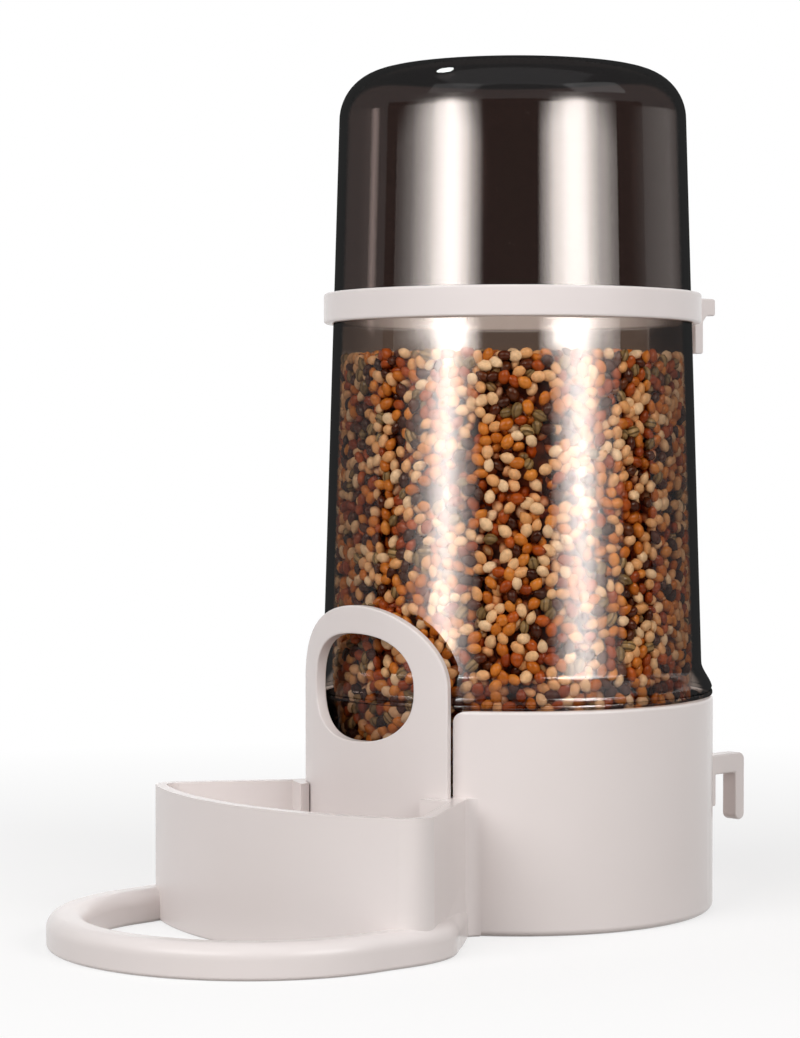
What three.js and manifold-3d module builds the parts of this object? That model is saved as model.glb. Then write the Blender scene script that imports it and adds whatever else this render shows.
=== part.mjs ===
// Gravity seed feeder for a bird cage: an upturned bottle in a hopper base with trough, perch and gate.
// Millimetres, +Z up, front towards -Y, origin on the floor at the axis of the bottle.
import * as THREE from 'three';
import { mergeVertices } from 'three/addons/utils/BufferGeometryUtils.js';
import Module from 'manifold-3d';

const wasm = await Module();
wasm.setup();

// Clearances
const restGap = 0.3;
const gateGap = 0.3;
const gateStandoff = 0.8;
const neckGap = 0.8;

// Hopper cup
const cupRadius = 38;
const cupHeight = 40;
const cupWall = 1.8;
const cupFootRound = 1.2;
const cupRimRound = 0.6;
const floorThickness = 2;

// Gate and its guides
const gateThickness = 1.4;
const gateHeight = 56;
const gateArchRise = 14.3;
const fingerHoleSide = 5.8;
const fingerHoleHalfHeight = 9.7;
const fingerHoleMargin = 5.1;
const guideLap = 2.3;
const guideLip = 1.8;
const guideWall = 2.2;
const slotCornerRound = 2;

// Trough, whose side walls stand at an angle from the middle plane, in degrees
const troughHalfAngle = 33;
const troughReach = 30.4;
const troughHeight = 24.6;
const troughWall = 2;
const troughCorner = 5;
const troughFootRound = 4;
const troughRoot = 2.5;

// Perch ring
const perchReach = 31.4;
const perchTuck = 1.3;
const perchSetback = 2.6;
const perchWidth = 6.8;
const perchHeight = 6;
const perchRound = 2.6;
const perchSkirt = 1.2;
const perchStart = 5;

// Cage hooks on the cup
const cupHookSpread = 18.5;
const cupHookWidth = 3.5;
const cupHookTop = 27.2;
const cupHookArm = 3.8;
const cupHookPad = 2.6;
const cupHookPadDrop = 6.1;
const cageWireGap = 5.8;
const cupHookProng = 2.6;
const cupHookDrop = 13.1;

// Bottle
const bottleWall = 1.5;
const neckDepth = 16;
const flangeInset = 0.1;
const flangeEdge = 0.9;
const flareHeight = 5.2;
const flareInset = 2.1;
const bottleTaper = 3.1;
const bottleHeight = 117.3;
const shoulderRound = 9.3;

// Collar and its hook
const collarSeat = 69.8;
const collarBand = 5.6;
const collarWall = 1.5;
const collarRound = 0.5;
const collarHookWidth = 12.6;
const collarHookReach = 15.7;
const collarHookArm = 3.4;
const collarHookLift = 0.6;
const collarPlate = 2.4;
const collarPlateInset = 3.6;
const collarPlateDrop = 7.6;

// Seed
const seedDepth = 64.5;
const seedLump = 9.4;
const seedHollow = 1.8;

// Fineness of round faces
const circleSteps = 72;
const cornerSteps = 6;
const archSteps = 24;
const bowSteps = 16;
const straightSteps = 3;
const perchSteps = 64;

// Reach of a cutter past the face it opens, depth of one form inside the next, welding of corners
const overcut = 1;
const bury = 0.3;
const weld = 1e-4;

// Derived radii and heights
const cupInner = cupRadius - cupWall;
const gateInner = cupRadius + gateStandoff;
const gateOuter = gateInner + gateThickness;
const grooveOuter = gateOuter + gateGap;
const lipOuter = grooveOuter + guideLip;
const troughAngle = THREE.MathUtils.degToRad(troughHalfAngle);
const troughRadius = cupRadius + troughReach;
const slotHalfWidth = cupRadius * Math.sin(troughAngle) - guideWall;
const gateHalfWidth = slotHalfWidth - gateGap;
const windowHalfWidth = gateHalfWidth - guideLap;
const fingerHoleHalfWidth = gateHalfWidth - fingerHoleSide;
const neckRadius = cupInner - neckGap;
const flangeRadius = cupRadius - flangeInset;
const bottleFootRadius = flangeRadius - flareInset;
const bottleTopRadius = bottleFootRadius - bottleTaper;
const bottleSeat = cupHeight + restGap;
const beyond = 2 * (cupRadius + cupHeight);

const white = { color: '#e3dad6', roughness: 0.32, metalness: 0 };
const smoke = { color: '#4a423d', roughness: 0.12, metalness: 0, transparent: true, opacity: 0.5 };
const millet = { color: '#b98a55', roughness: 0.7, metalness: 0 };

// Closed solid from a three.js geometry, with shared corners merged and collapsed faces dropped
function solidFrom(geometry) {
  geometry.deleteAttribute('normal');
  geometry.deleteAttribute('uv');
  const merged = mergeVertices(geometry, weld);
  const corners = merged.index.array;
  const kept = [];
  for (let i = 0; i < corners.length; i += 3) {
    const [a, b, c] = [corners[i], corners[i + 1], corners[i + 2]];
    if (a !== b && b !== c && c !== a) kept.push(a, b, c);
  }
  const triVerts = Uint32Array.from(kept);
  const vertProperties = merged.attributes.position.array;
  return new wasm.Manifold(new wasm.Mesh({ numProp: 3, vertProperties, triVerts }));
}

// Named mesh from a solid, with a material of its own
function meshFrom(name, solid, look) {
  const { vertProperties, triVerts } = solid.getMesh();
  const geometry = new THREE.BufferGeometry();
  geometry.setAttribute('position', new THREE.BufferAttribute(vertProperties, 3));
  geometry.setIndex(new THREE.BufferAttribute(triVerts, 1));
  geometry.computeVertexNormals();
  const mesh = new THREE.Mesh(geometry, new THREE.MeshStandardMaterial(look));
  mesh.name = name;
  return mesh;
}

// Solid of revolution about Z, from radius and height pairs that run upwards on the outside
function revolved(profile) {
  const points = profile.map(([radius, height]) => new THREE.Vector2(radius, height));
  return solidFrom(new THREE.LatheGeometry(points, circleSteps).rotateX(Math.PI / 2));
}

function disc(radius, bottom, top) {
  return revolved([[0, bottom], [radius, bottom], [radius, top], [0, top]]);
}

// Upright prism whose lower edge is rounded; the rounded upper end is cut off level
function roundFootPrism(outline, round, bottom, top) {
  const options = {
    depth: top - bottom,
    bevelThickness: round,
    bevelSize: round,
    bevelOffset: -round,
    bevelSegments: cornerSteps,
    curveSegments: cornerSteps,
  };
  const tall = solidFrom(new THREE.ExtrudeGeometry(outline, options).translate(0, 0, bottom + round));
  return tall.intersect(disc(beyond, bottom - overcut, top));
}

// Prism along Y from an outline of X and Z
function throughPrism(outline, front, back) {
  const options = { depth: back - front, bevelEnabled: false, curveSegments: archSteps };
  const geometry = new THREE.ExtrudeGeometry(outline, options).rotateX(Math.PI / 2);
  return solidFrom(geometry.translate(0, back, 0));
}

// Prism along X, centred on the given place, from an outline of Y and Z
function sidePrism(outline, centre, width) {
  const options = { depth: width, bevelEnabled: false, curveSegments: cornerSteps };
  const geometry = new THREE.ExtrudeGeometry(outline, options).rotateZ(Math.PI / 2).rotateY(Math.PI / 2);
  return solidFrom(geometry.translate(centre - width / 2, 0, 0));
}

function block(halfWidth, front, back, bottom, top) {
  const box = new THREE.BoxGeometry(2 * halfWidth, back - front, top - bottom);
  return solidFrom(box.translate(0, (front + back) / 2, (bottom + top) / 2));
}

// Point beside the trough's side wall: a distance out from the axis, an inset from the wall's outer face
function besideTrough(distance, inset, side) {
  const sine = Math.sin(troughAngle);
  const cosine = Math.cos(troughAngle);
  return new THREE.Vector2(side * (distance * sine - inset * cosine), -distance * cosine - inset * sine);
}

// Points of an arc about a centre from one point to another, the short way round
function arcPoints(centre, from, to) {
  const start = Math.atan2(from.y - centre.y, from.x - centre.x);
  let sweep = Math.atan2(to.y - centre.y, to.x - centre.x) - start;
  if (sweep > Math.PI) sweep -= 2 * Math.PI;
  if (sweep < -Math.PI) sweep += 2 * Math.PI;
  const radius = from.distanceTo(centre);
  const points = [];
  for (let i = 0; i <= cornerSteps; i += 1) {
    const angle = start + (sweep * i) / cornerSteps;
    points.push(new THREE.Vector2(centre.x + radius * Math.cos(angle), centre.y + radius * Math.sin(angle)));
  }
  return points;
}

// Half of the trough's plan on one side: fillet at the cup, straight wall, rounded front corner.
// A plan with a fillet starts half way to the axis, so that its rounded foot has room under the cup.
function troughSide(side, inset, corner, root) {
  const reach = troughRadius - inset - corner;
  const along = Math.sqrt(reach ** 2 - (inset + corner) ** 2);
  const cornerCentre = besideTrough(along, inset + corner, side);
  const cornerEnd = cornerCentre.clone().multiplyScalar((troughRadius - inset) / reach);
  const front = arcPoints(cornerCentre, besideTrough(along, inset, side), cornerEnd);
  if (root === 0) return [besideTrough(cupInner, inset, side), ...front];
  const rootAlong = Math.sqrt((cupRadius + root) ** 2 - root ** 2);
  const rootCentre = besideTrough(rootAlong, -root, side);
  const onCup = rootCentre.clone().multiplyScalar(cupRadius / (cupRadius + root));
  const fillet = arcPoints(rootCentre, onCup, besideTrough(rootAlong, 0, side));
  const underCup = onCup.clone().setLength(cupRadius / 2);
  return [underCup, ...fillet, ...front];
}

// Plan of the trough, inset from its outer faces
function troughPlan(inset, root) {
  const corner = troughCorner - inset;
  const left = troughSide(-1, inset, corner, root);
  const right = troughSide(1, inset, corner, root);
  const frontLeft = left[left.length - 1];
  const frontRight = right[right.length - 1];
  const middle = new THREE.Vector2(0, -(troughRadius - inset));
  const axis = new THREE.Vector2(0, 0);
  const front = [...arcPoints(axis, frontLeft, middle), ...arcPoints(axis, middle, frontRight).slice(1)];
  return new THREE.Shape([...left, ...front.slice(1, -1), ...right.reverse()]);
}

// Outline of the gate in X and Z, from its lower edge at Z = 0
function gateOutline() {
  const spring = gateHeight - gateArchRise;
  const outline = new THREE.Shape();
  outline.moveTo(-gateHalfWidth, 0);
  outline.lineTo(gateHalfWidth, 0);
  outline.lineTo(gateHalfWidth, spring);
  outline.absellipse(0, spring, gateHalfWidth, gateArchRise, 0, Math.PI, false);
  outline.closePath();
  const hole = new THREE.Path();
  const centre = gateHeight - fingerHoleMargin - fingerHoleHalfHeight;
  hole.absellipse(0, centre, fingerHoleHalfWidth, fingerHoleHalfHeight, 0, 2 * Math.PI, true);
  outline.holes.push(hole);
  return outline;
}

function makeGate() {
  const shell = disc(gateOuter, 0, gateHeight)
    .subtract(disc(gateInner, -overcut, gateHeight + overcut));
  return shell.intersect(throughPrism(gateOutline(), -beyond, 0));
}

// Perch ring: a bar with a rounded top along a path that leaves the trough's side walls
function makePerch() {
  const half = perchWidth / 2;
  const outerHalfWidth = troughRadius * Math.sin(troughAngle) - perchTuck;
  const centreY = -(troughRadius - perchSetback);
  const lengthwise = perchReach + perchSetback - half;
  const straight = (side) => {
    const points = [];
    for (let i = 0; i < straightSteps; i += 1) {
      const along = cupRadius + perchStart + ((troughReach - perchStart) * i) / straightSteps;
      points.push(besideTrough(along, i === 0 ? half + bury : half - perchSkirt, side));
    }
    return points;
  };
  const bow = [];
  for (let i = 0; i <= bowSteps; i += 1) {
    const angle = Math.PI + (Math.PI * i) / bowSteps;
    const x = (outerHalfWidth - half) * Math.cos(angle);
    bow.push(new THREE.Vector2(x, centreY + lengthwise * Math.sin(angle)));
  }
  const route = [...straight(-1), ...bow, ...straight(1).reverse()];
  const path = new THREE.CatmullRomCurve3(route.map((point) => new THREE.Vector3(point.x, point.y, 0)));
  const section = new THREE.Shape();
  section.moveTo(0, -half);
  section.lineTo(0, half);
  section.lineTo(-(perchHeight - perchRound), half);
  section.absarc(-(perchHeight - perchRound), half - perchRound, perchRound, Math.PI / 2, Math.PI, false);
  section.absarc(-(perchHeight - perchRound), perchRound - half, perchRound, Math.PI, 1.5 * Math.PI, false);
  section.closePath();
  const options = { steps: perchSteps, extrudePath: path, bevelEnabled: false, curveSegments: cornerSteps };
  return solidFrom(new THREE.ExtrudeGeometry(section, options));
}

// One hook behind the cup: arm, pad that bears on the cage and prong that drops behind a wire
function makeCupHook(side) {
  const edge = cupHookSpread + cupHookWidth / 2;
  const root = Math.sqrt(cupInner ** 2 - edge ** 2);
  const face = Math.sqrt(cupRadius ** 2 - cupHookSpread ** 2) + cupHookPad;
  const prong = face + cageWireGap;
  const end = prong + cupHookProng;
  const armBottom = cupHookTop - cupHookArm;
  const tip = cupHookTop - cupHookDrop;
  const tipRound = cupHookProng / 2;
  const outline = new THREE.Shape();
  outline.moveTo(root, armBottom - cupHookPadDrop);
  outline.lineTo(face, armBottom - cupHookPadDrop);
  outline.lineTo(face, armBottom);
  outline.lineTo(prong, armBottom);
  outline.lineTo(prong, tip + tipRound);
  outline.absarc(prong + tipRound, tip + tipRound, tipRound, Math.PI, 2 * Math.PI, false);
  outline.lineTo(end, cupHookTop - tipRound);
  outline.absarc(end - tipRound, cupHookTop - tipRound, tipRound, 0, Math.PI / 2, false);
  outline.lineTo(root, cupHookTop);
  outline.closePath();
  return sidePrism(outline, side * cupHookSpread, cupHookWidth);
}

// Rounded relief at the top of the gate slot, where the cup's rim turns down beside the gate
function makeSlotCorner(side) {
  const outline = new THREE.Shape();
  const inner = side * (slotHalfWidth - overcut);
  const outer = side * (slotHalfWidth + slotCornerRound);
  const edge = side * slotHalfWidth;
  const level = cupHeight - slotCornerRound;
  outline.moveTo(inner, cupHeight + overcut);
  outline.lineTo(inner, level);
  outline.lineTo(edge, level);
  outline.absarc(outer, level, slotCornerRound, side > 0 ? Math.PI : 0, Math.PI / 2, side > 0);
  outline.lineTo(outer, cupHeight + overcut);
  outline.closePath();
  return throughPrism(outline, -lipOuter, 0);
}

function makeBase() {
  const roundedFoot = shoulder(cupRadius, 0, cupFootRound).map(([radius, height]) => [radius, -height]);
  const cup = revolved([
    [0, 0],
    ...roundedFoot.reverse(),
    [cupRadius, cupHeight - cupRimRound],
    [cupRadius - cupRimRound, cupHeight],
    [0, cupHeight],
  ]);
  const trough = roundFootPrism(troughPlan(0, troughRoot), troughFootRound, 0, troughHeight);
  const top = cupHeight + overcut;
  const hollow = disc(cupInner, floorThickness, top);
  const troughFoot = troughFootRound - troughWall;
  const bowl = roundFootPrism(troughPlan(troughWall, 0), troughFoot, floorThickness, top)
    .subtract(disc(lipOuter, 0, top + overcut));
  const window = block(windowHalfWidth, -lipOuter - overcut, 0, floorThickness, top);
  const groove = disc(grooveOuter, floorThickness, top)
    .subtract(disc(cupRadius, 0, top + overcut))
    .intersect(block(slotHalfWidth, -beyond, 0, 0, top));
  const slot = block(slotHalfWidth, -beyond, 0, troughHeight, top);
  return cup
    .add(trough)
    .add(makePerch())
    .add(makeCupHook(-1))
    .add(makeCupHook(1))
    .subtract(hollow)
    .subtract(bowl)
    .subtract(window)
    .subtract(groove)
    .subtract(slot)
    .subtract(makeSlotCorner(-1))
    .subtract(makeSlotCorner(1));
}

// Radius of the bottle's tapered wall at a height above the bottle's seat
function bottleRadiusAt(height) {
  const foot = flangeEdge + flareHeight;
  const share = (height - foot) / (bottleHeight - shoulderRound - foot);
  return bottleFootRadius - bottleTaper * share;
}

// Quarter round from an upright wall inwards to a level top
function shoulder(radius, top, round) {
  const points = [];
  for (let i = 0; i <= cornerSteps; i += 1) {
    const angle = (Math.PI / 2) * (i / cornerSteps);
    points.push([radius - round + round * Math.cos(angle), top - round + round * Math.sin(angle)]);
  }
  return points;
}

// The bottle stands on its seat at Z = 0: neck below, flared foot and tapered wall above
function makeBottle() {
  const foot = flangeEdge + flareHeight;
  const neckInner = neckRadius - bottleWall;
  const insideRound = shoulderRound - bottleWall;
  return revolved([
    [neckInner, -neckDepth],
    [neckRadius, -neckDepth],
    [neckRadius, 0],
    [flangeRadius - flangeEdge / 2, 0],
    [flangeRadius, flangeEdge / 2],
    [flangeRadius, flangeEdge],
    [bottleFootRadius, foot],
    ...shoulder(bottleTopRadius, bottleHeight, shoulderRound),
    [0, bottleHeight],
    [0, bottleHeight - bottleWall],
    ...shoulder(bottleTopRadius - bottleWall, bottleHeight - bottleWall, insideRound).reverse(),
    [bottleFootRadius - bottleWall, foot],
    [neckInner, flangeEdge],
    [neckInner, -neckDepth],
  ]);
}

// Loose seed turned about Z: its wall and top swell into staggered lumps with hollows between them
function heaped(bottom, profile) {
  const path = new THREE.Path(profile.map(([radius, height]) => new THREE.Vector2(radius, height)));
  const rows = Math.round((2 * path.getLength()) / seedLump);
  const points = [new THREE.Vector2(0, bottom), ...path.getSpacedPoints(rows)];
  const columns = 2 * Math.round((2 * Math.PI * profile[0][0]) / seedLump);
  const geometry = new THREE.LatheGeometry(points, columns);
  const { position, normal } = geometry.attributes;
  const place = new THREE.Vector3();
  const outwards = new THREE.Vector3();
  for (let column = 0; column <= columns; column += 1) {
    for (let row = 1 + (column % 2); row < points.length - 1; row += 2) {
      const corner = column * points.length + row;
      place.fromBufferAttribute(position, corner);
      outwards.fromBufferAttribute(normal, corner);
      place.addScaledVector(outwards, -seedHollow);
      position.setXYZ(corner, place.x, place.y, place.z);
    }
  }
  return solidFrom(geometry.rotateX(Math.PI / 2));
}

// Seed in the bottle, from its mouth up to the fill level, clear of the wall
function makeSeedColumn() {
  const foot = flangeEdge + flareHeight;
  const inset = bottleWall + restGap;
  const bottom = restGap - neckDepth;
  return heaped(bottom, [
    [neckRadius - inset, bottom],
    [neckRadius - inset, flangeEdge],
    [bottleFootRadius - inset, foot],
    [bottleRadiusAt(seedDepth) - inset, seedDepth],
    [0, seedDepth],
  ]);
}

// Seed between the cup's floor and the mouth of the bottle
function makeSeedBed() {
  const radius = cupInner - restGap;
  const bottom = floorThickness + restGap;
  const top = bottleSeat - neckDepth - restGap;
  return heaped(bottom, [[radius, bottom], [radius, top], [0, top]]);
}

// Collar with its inside on the bottle's taper and a hook at the back, from its lower edge at Z = 0
function makeCollar() {
  const lowInner = bottleRadiusAt(collarSeat) + restGap;
  const highInner = bottleRadiusAt(collarSeat + collarBand) + restGap;
  const outer = lowInner + collarWall;
  const band = revolved([
    [lowInner, 0],
    [outer - collarRound, 0],
    [outer, collarRound],
    [outer, collarBand - collarRound],
    [outer - collarRound, collarBand],
    [highInner, collarBand],
    [lowInner, 0],
  ]);
  const reach = outer + collarHookReach;
  const armTop = collarBand + collarHookLift;
  const armBottom = armTop - collarHookArm;
  const plateBack = reach - collarPlateInset;
  const outline = new THREE.Shape();
  outline.moveTo(0, armTop);
  outline.lineTo(0, armBottom);
  outline.lineTo(plateBack - collarPlate, armBottom);
  outline.lineTo(plateBack - collarPlate, armBottom - collarPlateDrop);
  outline.lineTo(plateBack, armBottom - collarPlateDrop);
  outline.lineTo(plateBack, armBottom);
  outline.lineTo(reach, armBottom);
  outline.lineTo(reach, armTop);
  outline.closePath();
  const bore = disc((lowInner + outer) / 2, -overcut, armTop + overcut);
  return band.add(sidePrism(outline, 0, collarHookWidth).subtract(bore));
}

const feeder = new THREE.Group();
feeder.name = 'seed_feeder';

const base = meshFrom('base', makeBase(), white);

const gate = meshFrom('gate', makeGate(), white);
gate.position.z = floorThickness + restGap;

const bottle = meshFrom('bottle', makeBottle(), smoke);
bottle.position.z = bottleSeat;

const seedColumn = meshFrom('seed_column', makeSeedColumn(), millet);
seedColumn.position.z = bottleSeat;

const seedBed = meshFrom('seed_bed', makeSeedBed(), millet);

const collar = meshFrom('collar', makeCollar(), white);
collar.position.z = bottleSeat + collarSeat;

feeder.add(base, gate, bottle, seedColumn, seedBed, collar);

export default feeder;
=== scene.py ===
import math

import bpy
import numpy as np
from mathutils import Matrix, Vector
from mathutils.kdtree import KDTree


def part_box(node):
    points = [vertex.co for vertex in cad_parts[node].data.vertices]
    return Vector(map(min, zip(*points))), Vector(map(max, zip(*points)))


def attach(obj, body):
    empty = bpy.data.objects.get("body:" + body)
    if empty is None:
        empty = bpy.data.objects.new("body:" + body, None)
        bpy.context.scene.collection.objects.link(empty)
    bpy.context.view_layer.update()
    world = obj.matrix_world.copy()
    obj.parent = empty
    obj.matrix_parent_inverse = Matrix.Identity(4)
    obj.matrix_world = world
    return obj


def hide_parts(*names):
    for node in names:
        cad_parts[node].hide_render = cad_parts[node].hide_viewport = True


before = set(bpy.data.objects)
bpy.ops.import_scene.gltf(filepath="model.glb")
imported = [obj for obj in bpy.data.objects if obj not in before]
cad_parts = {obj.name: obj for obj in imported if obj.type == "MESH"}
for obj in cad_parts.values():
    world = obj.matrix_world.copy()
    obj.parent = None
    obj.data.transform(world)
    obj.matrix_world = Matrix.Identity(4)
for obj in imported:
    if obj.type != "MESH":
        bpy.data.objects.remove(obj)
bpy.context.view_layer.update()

MM = 0.001

# Sizes read from the frame
base_low, base_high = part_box("base")
gate_low, gate_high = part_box("gate")
bottle_low, bottle_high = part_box("bottle")
collar_low, collar_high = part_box("collar")
_, column_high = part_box("seed_column")
bed_low, bed_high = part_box("seed_bed")

# Clearances
REST_GAP = 0.3 * MM
GATE_GAP = 0.3 * MM
SLOT_GAP = 0.14 * MM

# Hopper cup
CUP_RADIUS = base_high.x
CUP_HEIGHT = base_high.z
CUP_WALL = 1.8 * MM
CUP_INNER = CUP_RADIUS - CUP_WALL
CUP_MID_WALL = (CUP_INNER + CUP_RADIUS) / 2
CUP_FOOT_ROUND = 1.2 * MM
CUP_RIM_ROUND = 0.6 * MM
CUP_INSIDE_ROUND = 3 * MM
FLOOR_THICKNESS = 2 * MM

# Gate and its guides
GATE_THICKNESS = 2 * MM
GATE_HALF_WIDTH = gate_high.x
GATE_OUTER = -gate_low.y
GATE_INNER = GATE_OUTER - GATE_THICKNESS
GATE_ARCH_RISE = 14.3 * MM
GATE_EDGE = 0.25 * MM
FINGER_HOLE_HALF_WIDTH = GATE_HALF_WIDTH - 5.8 * MM
FINGER_HOLE_HALF_HEIGHT = 9.7 * MM
FINGER_HOLE_MARGIN = 5.1 * MM
FINGER_HOLE_FULLNESS = 0.84
GROOVE_OUTER = GATE_OUTER + GATE_GAP
LIP_OUTER = GROOVE_OUTER + 1.8 * MM
SLOT_HALF_WIDTH = GATE_HALF_WIDTH + SLOT_GAP
SLOT_CORNER = 2 * MM
WINDOW_HALF_WIDTH = GATE_HALF_WIDTH - 2.3 * MM

# Trough
TROUGH_ANGLE = math.radians(33)
TROUGH_RADIUS = CUP_RADIUS + 30.4 * MM
TROUGH_HEIGHT = 24.6 * MM
TROUGH_WALL = 2 * MM
TROUGH_CORNER = 5 * MM
TROUGH_FOOT_ROUND = 4 * MM
TROUGH_ROOT = 2.5 * MM
TROUGH_EDGE = 0.45 * MM

# Perch ring
PERCH_WIDTH = 6.8 * MM
PERCH_HEIGHT = 6 * MM
PERCH_ROUND = 2.6 * MM
PERCH_FOOT_ROUND = 0.7 * MM
PERCH_SKIRT = 2.2 * MM
PERCH_SKIRT_RUN = 0.7
ROOT_RISE = 12.5 * MM
ROOT_FALL = 7.5 * MM
ROOT_STEP = 3.2 * MM
ROOT_TUCK = 0.12 * MM
ROOT_REACH = 0.62
ROOT_STATIONS = 9
PERCH_SETBACK = 2.6 * MM
PERCH_TUCK = 1.3 * MM

# Cage hooks on the cup
CUP_HOOK_SPREAD = 18.5 * MM
CUP_HOOK_WIDTH = 3.5 * MM
CUP_HOOK_TOP = 27.2 * MM
CUP_HOOK_ARM = 3.8 * MM
CUP_HOOK_PAD = 2.6 * MM
CUP_HOOK_PAD_DROP = 6.1 * MM
CAGE_WIRE_GAP = 5.8 * MM
CUP_HOOK_PRONG = 2.6 * MM
CUP_HOOK_DROP = 13.1 * MM
HOOK_EDGE = 0.4 * MM

# Bottle
BOTTLE_SEAT = CUP_HEIGHT + REST_GAP
BOTTLE_WALL = 1.5 * MM
NECK_RADIUS = CUP_INNER - 0.8 * MM
FLANGE_RADIUS = bottle_high.x
FLANGE_EDGE = 0.9 * MM
FLARE_HEIGHT = 5.2 * MM
FLARE_INSET = 2.1 * MM
BOTTLE_FOOT = FLANGE_RADIUS - FLARE_INSET
BOTTLE_TAPER = 3.1 * MM
BOTTLE_TOP = bottle_high.z
SHOULDER_ROUND = 9.3 * MM

# Collar and its hook
COLLAR_BAND = 5.6 * MM
COLLAR_WALL = 1.5 * MM
COLLAR_ROUND = 0.5 * MM
COLLAR_LIFT = 0.6 * MM
COLLAR_SEAT = collar_high.z - COLLAR_LIFT - COLLAR_BAND
COLLAR_HOOK_WIDTH = 12.6 * MM
COLLAR_HOOK_ARM = 3.4 * MM
COLLAR_PLATE = 2.4 * MM
COLLAR_PLATE_INSET = 3.6 * MM

# Fineness of the meshes
CIRCLE_STEPS = 160
CORNER_STEPS = 8
BOW_STEPS = 16
GATE_SPOKES = 128
GATE_RINGS = 9
FOOT_SEGMENTS = 6
CLOSE_BY = 0.01 * MM
TINY = 1e-6
OVERCUT = 1 * MM
BEYOND = 4 * CUP_RADIUS


# Directions of the photograph's view, level with the floor
AZIMUTH = math.radians(47)
towards = Vector((math.sin(AZIMUTH), -math.cos(AZIMUTH), 0))
rightwards = Vector((math.cos(AZIMUTH), math.sin(AZIMUTH), 0))


# Modelling helpers

def deselect():
    """Leaves edit mode and deselects every object."""
    if bpy.context.mode != "OBJECT":
        bpy.ops.object.mode_set(mode="OBJECT")
    bpy.ops.object.select_all(action="DESELECT")


def make_active(obj):
    """Selects one object alone."""
    deselect()
    obj.select_set(True)
    bpy.context.view_layer.objects.active = obj


def edit_all():
    """Opens edit mode with the whole piece selected."""
    bpy.ops.object.mode_set(mode="EDIT")
    bpy.ops.mesh.select_all(action="SELECT")


def apply(obj, name, kind, **settings):
    """Gives a piece a modifier with its settings and applies it."""
    make_active(obj)
    modifier = obj.modifiers.new(name, kind)
    for key, value in settings.items():
        setattr(modifier, key, value)
    bpy.ops.object.modifier_apply(modifier=modifier.name)
    return obj


def outward(obj, merge=0.002 * MM):
    """Merges doubled corners and turns all faces outwards."""
    make_active(obj)
    edit_all()
    bpy.ops.mesh.remove_doubles(threshold=merge)
    bpy.ops.mesh.normals_make_consistent(inside=False)
    bpy.ops.object.mode_set(mode="OBJECT")
    return obj


def turned(name, profile, steps=CIRCLE_STEPS):
    """A piece turned about Z: a ring is extruded from one radius and height to the next."""
    deselect()
    radius, height = profile[0]
    bpy.ops.mesh.primitive_circle_add(vertices=steps, radius=radius)
    obj = bpy.context.object
    obj.name = name
    edit_all()
    bpy.ops.transform.translate(value=(0, 0, height))
    if profile[-1] != profile[0]:
        bpy.ops.mesh.edge_face_add()
    for next_radius, next_height in profile[1:]:
        bpy.ops.mesh.extrude_edges_move(
            TRANSFORM_OT_translate={"value": (0, 0, next_height - height)})
        share = next_radius / radius
        bpy.ops.transform.resize(value=(share, share, 1), center_override=(0, 0, next_height))
        radius, height = next_radius, next_height
    if profile[-1] != profile[0]:
        bpy.ops.mesh.edge_face_add()
    return outward(obj)


def prism(name, outline, along):
    """A closed outline of points in space, filled and extruded along a vector."""
    deselect()
    bpy.ops.mesh.primitive_circle_add(vertices=len(outline), radius=1, fill_type="NGON")
    obj = bpy.context.object
    obj.name = name
    for vertex, point in zip(obj.data.vertices, outline):
        vertex.co = point
    edit_all()
    bpy.ops.mesh.extrude_region_move(TRANSFORM_OT_translate={"value": along})
    return outward(obj)


def loft(name, outlines):
    """A solid drawn through a row of outlines with equally many points."""
    deselect()
    bpy.ops.mesh.primitive_circle_add(vertices=len(outlines[0]), radius=1, fill_type="NGON")
    obj = bpy.context.object
    obj.name = name
    for vertex, point in zip(obj.data.vertices, outlines[0]):
        vertex.co = point
    for outline in outlines[1:]:
        bpy.ops.object.mode_set(mode="EDIT")
        bpy.ops.mesh.extrude_region_move()
        bpy.ops.object.mode_set(mode="OBJECT")
        drawn = [vertex for vertex in obj.data.vertices if vertex.select]
        for vertex, point in zip(drawn, outline):
            vertex.co = point
    return outward(obj)


def upright(name, plan, bottom, top):
    """A prism that stands on a plan of X and Y."""
    return prism(name, [(x, y, bottom) for x, y in plan], (0, 0, top - bottom))


def block(name, half_width, front, back, bottom, top):
    """A box from its half width, its front and back in Y and its bottom and top."""
    plan = [(-half_width, front), (half_width, front), (half_width, back), (-half_width, back)]
    return upright(name, plan, bottom, top)


def drum(name, radius, bottom, top):
    """A plain round cutter."""
    return turned(name, [(radius, bottom), (radius, top)])


def combine(obj, tool, operation):
    """Joins a tool to a piece or cuts it away, and removes the tool."""
    apply(obj, operation, "BOOLEAN", operation=operation, solver="EXACT", object=tool)
    bpy.data.objects.remove(tool)
    return obj


def pick_edges(obj, chosen):
    """Selects the edges whose two corners pass a test, and stays in edit mode."""
    make_active(obj)
    bpy.ops.object.mode_set(mode="EDIT")
    bpy.ops.mesh.select_mode(type="EDGE")
    bpy.ops.mesh.select_all(action="DESELECT")
    bpy.ops.object.mode_set(mode="OBJECT")
    for edge in obj.data.edges:
        edge.select = chosen(*[obj.data.vertices[i] for i in edge.vertices])
    bpy.ops.object.mode_set(mode="EDIT")


def round_edges(obj, chosen, width, segments=3):
    """Bevels the edges whose two ends pass a test of their places."""
    pick_edges(obj, lambda first, last: chosen(first.co, last.co))
    bpy.ops.mesh.bevel(offset=width, segments=segments, affect="EDGES", clamp_overlap=True)
    bpy.ops.object.mode_set(mode="OBJECT")
    return obj


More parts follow.
